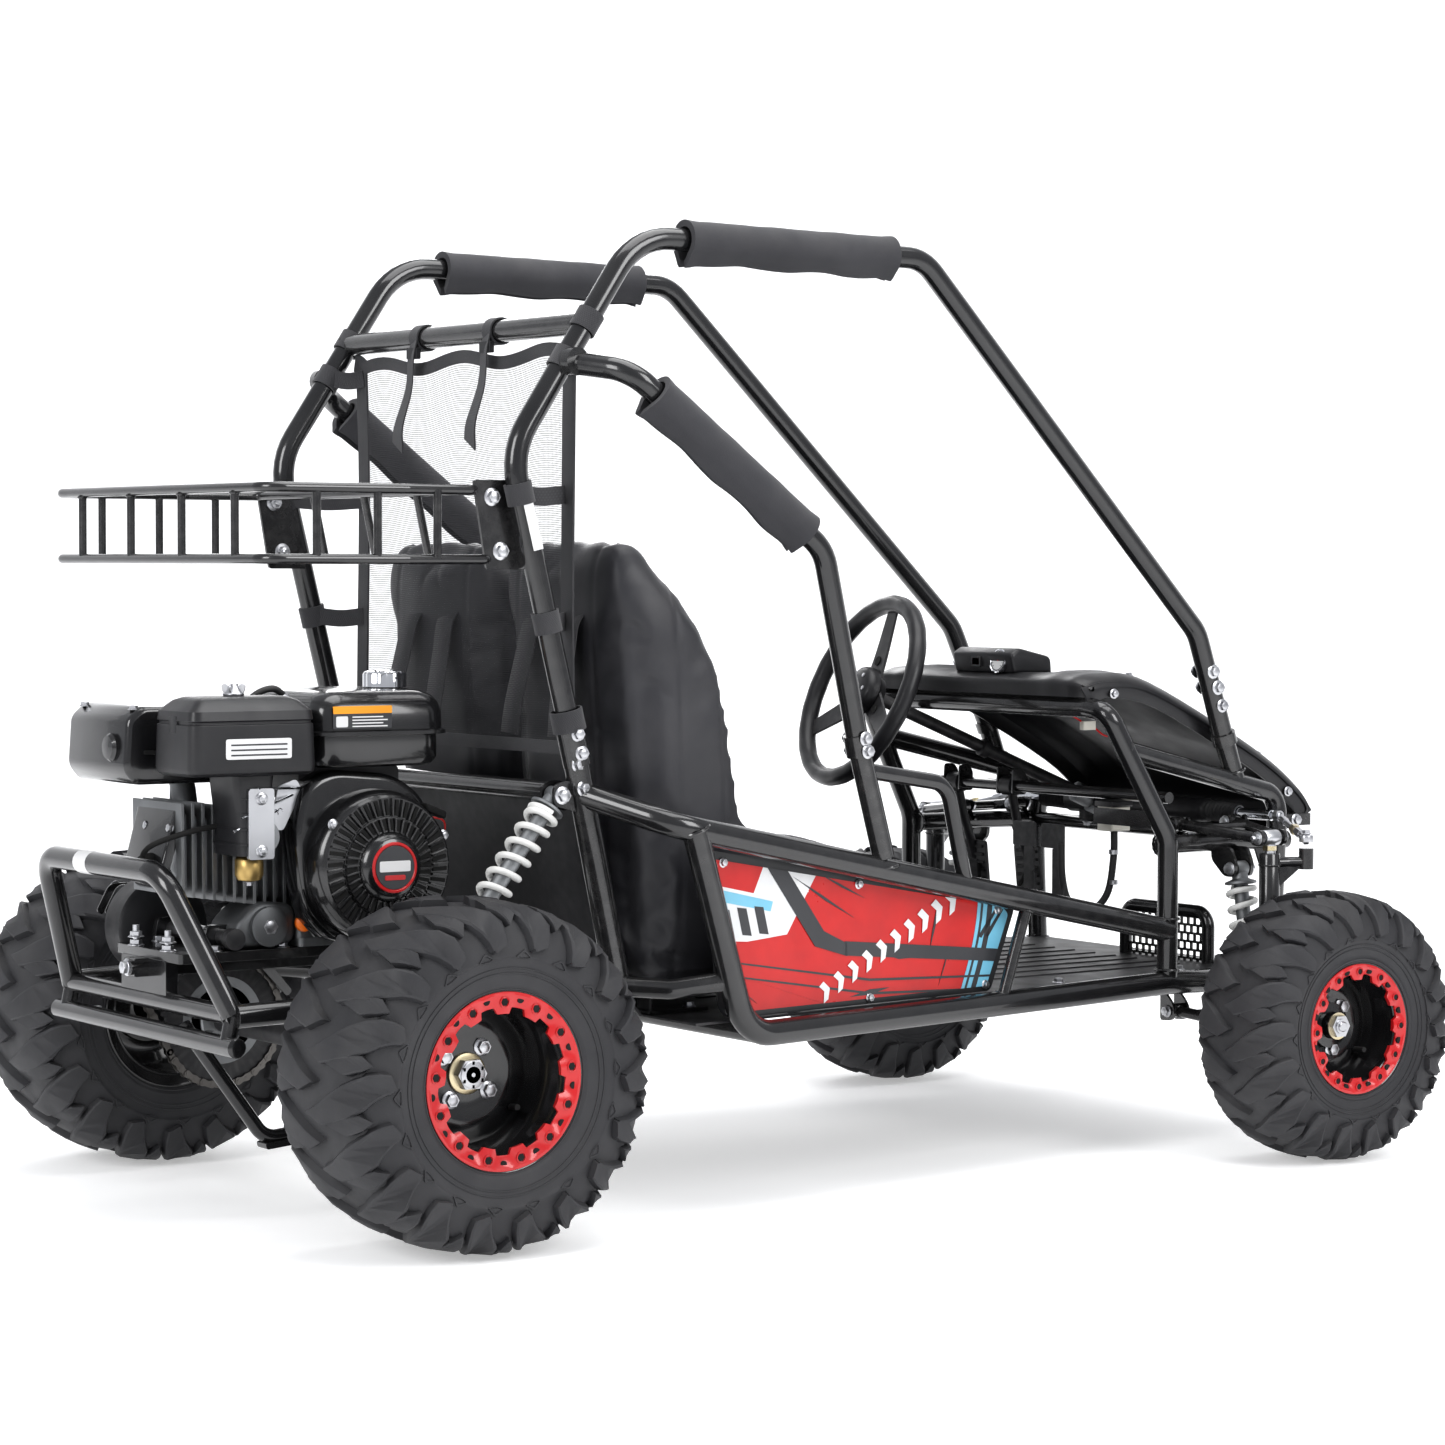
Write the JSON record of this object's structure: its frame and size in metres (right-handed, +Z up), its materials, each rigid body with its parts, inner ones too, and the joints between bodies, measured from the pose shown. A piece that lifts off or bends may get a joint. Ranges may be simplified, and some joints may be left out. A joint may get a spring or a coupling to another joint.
{
  "type": "kart chassis",
  "caption": "Two-seat off-road kart: tube chassis with roll cage, swing-arm engine rear end, wishbone front, rack steering and lugged tyres.",
  "frame": {"origin": "on the ground, under the middle of the overall length and width", "axes": "+X forward, +Y to the driver's left, +Z up"},
  "size_m": [1.7672, 1.091, 1.202],
  "materials": {
    "gloss_black": "gloss powder coat",
    "satin_black": "satin black paint",
    "dark_plastic": "textured moulding",
    "tyre": "lugged tread",
    "foam": "padded sleeve",
    "vinyl": "stitched cover",
    "net": "mesh",
    "red": "gloss red rim",
    "white_spring": "white coating",
    "zinc": "zinc plate",
    "cast": "engine castings, mostly black",
    "graphic_panel": "printed panel"
  },
  "bodies": {
    "chassis": {"main_frame": "gloss_black", "roll_cage": "gloss_black", "side_bar_right": "gloss_black", "side_bar_left": "gloss_black", "top_pad_right": "foam", "top_pad_left": "foam", "side_pad_right": "foam", "side_pad_left": "foam", "luggage_rack": "gloss_black", "side_panel_right": "graphic_panel", "side_panel_left": "graphic_panel", "floor_and_firewall": "satin_black", "dash_cowl": "satin_black", "seat_right": "vinyl", "seat_left": "vinyl", "rear_net": "net", "steering_rack": "dark_plastic"},
    "swing_group": {"swing_arm": "gloss_black", "engine": "cast", "fuel_tank": "gloss_black", "air_cleaner": "dark_plastic", "muffler": "satin_black"},
    "cap": {"fuel_cap": "zinc"},
    "jackshaft_turning": {"jackshaft": "zinc"},
    "rear_wheels": {"rear_axle": "zinc", "rear_sprocket": "zinc", "rear_rim_right": "red", "rear_rim_left": "red", "rear_tyre_right": "tyre", "rear_tyre_left": "tyre"},
    "steering_turning": {"steering_wheel": "dark_plastic"},
    "rack": {"rack_bar": "zinc"},
    "throttle": {"throttle_pedal": "satin_black"},
    "brake": {"brake_pedal": "satin_black"},
    "lower_arm_right": {"lower_arm_right": "gloss_black"},
    "upper_arm_right": {"upper_arm_right": "gloss_black"},
    "kingpin_right": {"kingpin_right": "zinc"},
    "knuckle_right": {"knuckle_right": "gloss_black"},
    "front_wheel_right": {"front_rim_right": "red", "front_tyre_right": "tyre"},
    "tie_rod_right": {"tie_rod_right": "zinc"},
    "front_shock_upper_right": {"front_shock_body_right": "zinc", "front_spring_right": "white_spring"},
    "front_shock_lower_right": {"front_shock_rod_right": "zinc"},
    "rear_shock_upper_right": {"rear_shock_body_right": "zinc", "rear_spring_right": "white_spring"},
    "rear_shock_lower_right": {"rear_shock_rod_right": "zinc"},
    "lower_arm_left": {"lower_arm_left": "gloss_black"},
    "upper_arm_left": {"upper_arm_left": "gloss_black"},
    "kingpin_left": {"kingpin_left": "zinc"},
    "knuckle_left": {"knuckle_left": "gloss_black"},
    "front_wheel_left": {"front_rim_left": "red", "front_tyre_left": "tyre"},
    "tie_rod_left": {"tie_rod_left": "zinc"},
    "front_shock_upper_left": {"front_shock_body_left": "zinc", "front_spring_left": "white_spring"},
    "front_shock_lower_left": {"front_shock_rod_left": "zinc"},
    "rear_shock_upper_left": {"rear_shock_body_left": "zinc", "rear_spring_left": "white_spring"},
    "rear_shock_lower_left": {"rear_shock_rod_left": "zinc"}
  },
  "joints": [
    {"name": "swing_arm_pivot", "type": "hinge", "parent": "chassis", "child": "swing_group", "pos_m": [-0.32444, 0, 0.238], "axis": [0, 1, 0], "range_deg": [0, 6], "stiffness_Nm_per_rad": 3000, "springref_deg": -5.73},
    {"name": "rear_axle_spin", "type": "hinge", "parent": "swing_group", "child": "rear_wheels", "pos_m": [-0.61444, 0, 0.203], "axis": [0, 1, 0], "continuous": true},
    {"name": "jackshaft_spin", "type": "hinge", "parent": "swing_group", "child": "jackshaft_turning", "pos_m": [-0.74444, 0, 0.337], "axis": [0, 1, 0], "continuous": true},
    {"name": "fuel_cap_turn", "type": "hinge", "parent": "swing_group", "child": "cap", "pos_m": [-0.53044, -0.08, 0.644], "axis": [0, 0, 1], "continuous": true},
    {"name": "steering_turn", "type": "hinge", "parent": "chassis", "child": "steering_turning", "pos_m": [0.37156, 0.15, 0.608], "axis": [-0.9092, 0.1366, 0.3934], "range_deg": [-140, 140]},
    {"name": "rack_slide", "type": "slide", "parent": "chassis", "child": "rack", "axis": [0, 1, 0], "range_m": [-0.019, 0.019]},
    {"name": "throttle_press", "type": "hinge", "parent": "chassis", "child": "throttle", "pos_m": [0.58556, 0.08, 0.47], "axis": [0, -1, 0], "range_deg": [0, 18], "stiffness_Nm_per_rad": 5, "springref_deg": -17.19},
    {"name": "brake_press", "type": "hinge", "parent": "chassis", "child": "brake", "pos_m": [0.58556, 0.202, 0.47], "axis": [0, -1, 0], "range_deg": [0, 18], "stiffness_Nm_per_rad": 8, "springref_deg": -17.19},
    {"name": "lower_arm_swing_right", "type": "hinge", "parent": "chassis", "child": "lower_arm_right", "pos_m": [0.67256, -0.235, 0.176], "axis": [-1, 0, 0], "range_deg": [0, 12], "stiffness_Nm_per_rad": 1200, "springref_deg": -6.88},
    {"name": "upper_arm_swing_right", "type": "hinge", "parent": "chassis", "child": "upper_arm_right", "pos_m": [0.67256, -0.235, 0.432], "axis": [-1, 0, 0], "range_deg": [0, 12.5]},
    {"name": "kingpin_level_right", "type": "hinge", "parent": "lower_arm_right", "child": "kingpin_right", "pos_m": [0.67256, -0.365, 0.163], "axis": [-1, 0, 0], "range_deg": [-12.5, 0.5]},
    {"name": "knuckle_steer_right", "type": "hinge", "parent": "kingpin_right", "child": "knuckle_right", "pos_m": [0.67256, -0.365, 0.29], "axis": [0, 0, 1], "range_deg": [-24, 24]},
    {"name": "front_wheel_spin_right", "type": "hinge", "parent": "knuckle_right", "child": "front_wheel_right", "pos_m": [0.67256, -0.473, 0.178], "axis": [0, 1, 0], "continuous": true},
    {"name": "tie_rod_swing_right", "type": "hinge", "parent": "rack", "child": "tie_rod_right", "pos_m": [0.75756, -0.292, 0.441], "axis": [-1, 0, 0], "range_deg": [-0.5, 18]},
    {"name": "front_shock_tilt_right", "type": "hinge", "parent": "chassis", "child": "front_shock_upper_right", "pos_m": [0.67756, -0.3, 0.373], "axis": [-1, 0, 0], "range_deg": [-0.5, 2]},
    {"name": "front_shock_travel_right", "type": "slide", "parent": "front_shock_upper_right", "child": "front_shock_lower_right", "axis": [0, 0.1462, 0.9893], "range_m": [-0.001, 0.024], "deforming": ["front_spring_right"]},
    {"name": "rear_shock_tilt_right", "type": "hinge", "parent": "chassis", "child": "rear_shock_upper_right", "pos_m": [-0.40844, -0.278, 0.508], "axis": [0, 1, 0], "range_deg": [-0.5, 4]},
    {"name": "rear_shock_travel_right", "type": "slide", "parent": "rear_shock_upper_right", "child": "rear_shock_lower_right", "axis": [0.6092, 0, 0.793], "range_m": [-0.001, 0.028], "deforming": ["rear_spring_right"]},
    {"name": "lower_arm_swing_left", "type": "hinge", "parent": "chassis", "child": "lower_arm_left", "pos_m": [0.67256, 0.235, 0.176], "axis": [1, 0, 0], "range_deg": [0, 12], "stiffness_Nm_per_rad": 1200, "springref_deg": -6.88},
    {"name": "upper_arm_swing_left", "type": "hinge", "parent": "chassis", "child": "upper_arm_left", "pos_m": [0.67256, 0.235, 0.432], "axis": [1, 0, 0], "range_deg": [0, 12.5]},
    {"name": "kingpin_level_left", "type": "hinge", "parent": "lower_arm_left", "child": "kingpin_left", "pos_m": [0.67256, 0.365, 0.163], "axis": [1, 0, 0], "range_deg": [-12.5, 0.5]},
    {"name": "knuckle_steer_left", "type": "hinge", "parent": "kingpin_left", "child": "knuckle_left", "pos_m": [0.67256, 0.365, 0.29], "axis": [0, 0, 1], "range_deg": [-24, 24]},
    {"name": "front_wheel_spin_left", "type": "hinge", "parent": "knuckle_left", "child": "front_wheel_left", "pos_m": [0.67256, 0.473, 0.178], "axis": [0, 1, 0], "continuous": true},
    {"name": "tie_rod_swing_left", "type": "hinge", "parent": "rack", "child": "tie_rod_left", "pos_m": [0.75756, 0.292, 0.441], "axis": [1, 0, 0], "range_deg": [-0.5, 18]},
    {"name": "front_shock_tilt_left", "type": "hinge", "parent": "chassis", "child": "front_shock_upper_left", "pos_m": [0.67756, 0.3, 0.373], "axis": [1, 0, 0], "range_deg": [-0.5, 2]},
    {"name": "front_shock_travel_left", "type": "slide", "parent": "front_shock_upper_left", "child": "front_shock_lower_left", "axis": [0, -0.1462, 0.9893], "range_m": [-0.001, 0.024], "deforming": ["front_spring_left"]},
    {"name": "rear_shock_tilt_left", "type": "hinge", "parent": "chassis", "child": "rear_shock_upper_left", "pos_m": [-0.40844, 0.278, 0.508], "axis": [0, 1, 0], "range_deg": [-0.5, 4]},
    {"name": "rear_shock_travel_left", "type": "slide", "parent": "rear_shock_upper_left", "child": "rear_shock_lower_left", "axis": [0.6092, 0, 0.793], "range_m": [-0.001, 0.028], "deforming": ["rear_spring_left"]}
  ],
  "couplings": [
    {"joint": "jackshaft_spin", "follows": "rear_axle_spin", "ratio": 3.3333},
    {"joint": "rack_slide", "follows": "steering_turn", "m_per_rad": 0.007571},
    {"joint": "upper_arm_swing_right", "follows": "lower_arm_swing_right", "ratio": 1},
    {"joint": "kingpin_level_right", "follows": "lower_arm_swing_right", "ratio": -1},
    {"joint": "knuckle_steer_right", "follows": "steering_turn", "ratio": 0.16429},
    {"joint": "tie_rod_swing_right", "follows": "lower_arm_swing_right", "ratio": 1.4},
    {"joint": "front_shock_tilt_right", "follows": "lower_arm_swing_right", "ratio": 0.05374},
    {"joint": "front_shock_travel_right", "follows": "lower_arm_swing_right", "m_per_rad": 0.094435},
    {"joint": "rear_shock_tilt_right", "follows": "swing_arm_pivot", "ratio": 0.47264},
    {"joint": "rear_shock_travel_right", "follows": "swing_arm_pivot", "m_per_rad": 0.23505},
    {"joint": "upper_arm_swing_left", "follows": "lower_arm_swing_left", "ratio": 1},
    {"joint": "kingpin_level_left", "follows": "lower_arm_swing_left", "ratio": -1},
    {"joint": "knuckle_steer_left", "follows": "steering_turn", "ratio": 0.16429},
    {"joint": "tie_rod_swing_left", "follows": "lower_arm_swing_left", "ratio": 1.4},
    {"joint": "front_shock_tilt_left", "follows": "lower_arm_swing_left", "ratio": 0.05374},
    {"joint": "front_shock_travel_left", "follows": "lower_arm_swing_left", "m_per_rad": 0.094435},
    {"joint": "rear_shock_tilt_left", "follows": "swing_arm_pivot", "ratio": 0.47264},
    {"joint": "rear_shock_travel_left", "follows": "swing_arm_pivot", "m_per_rad": 0.23505}
  ]
}
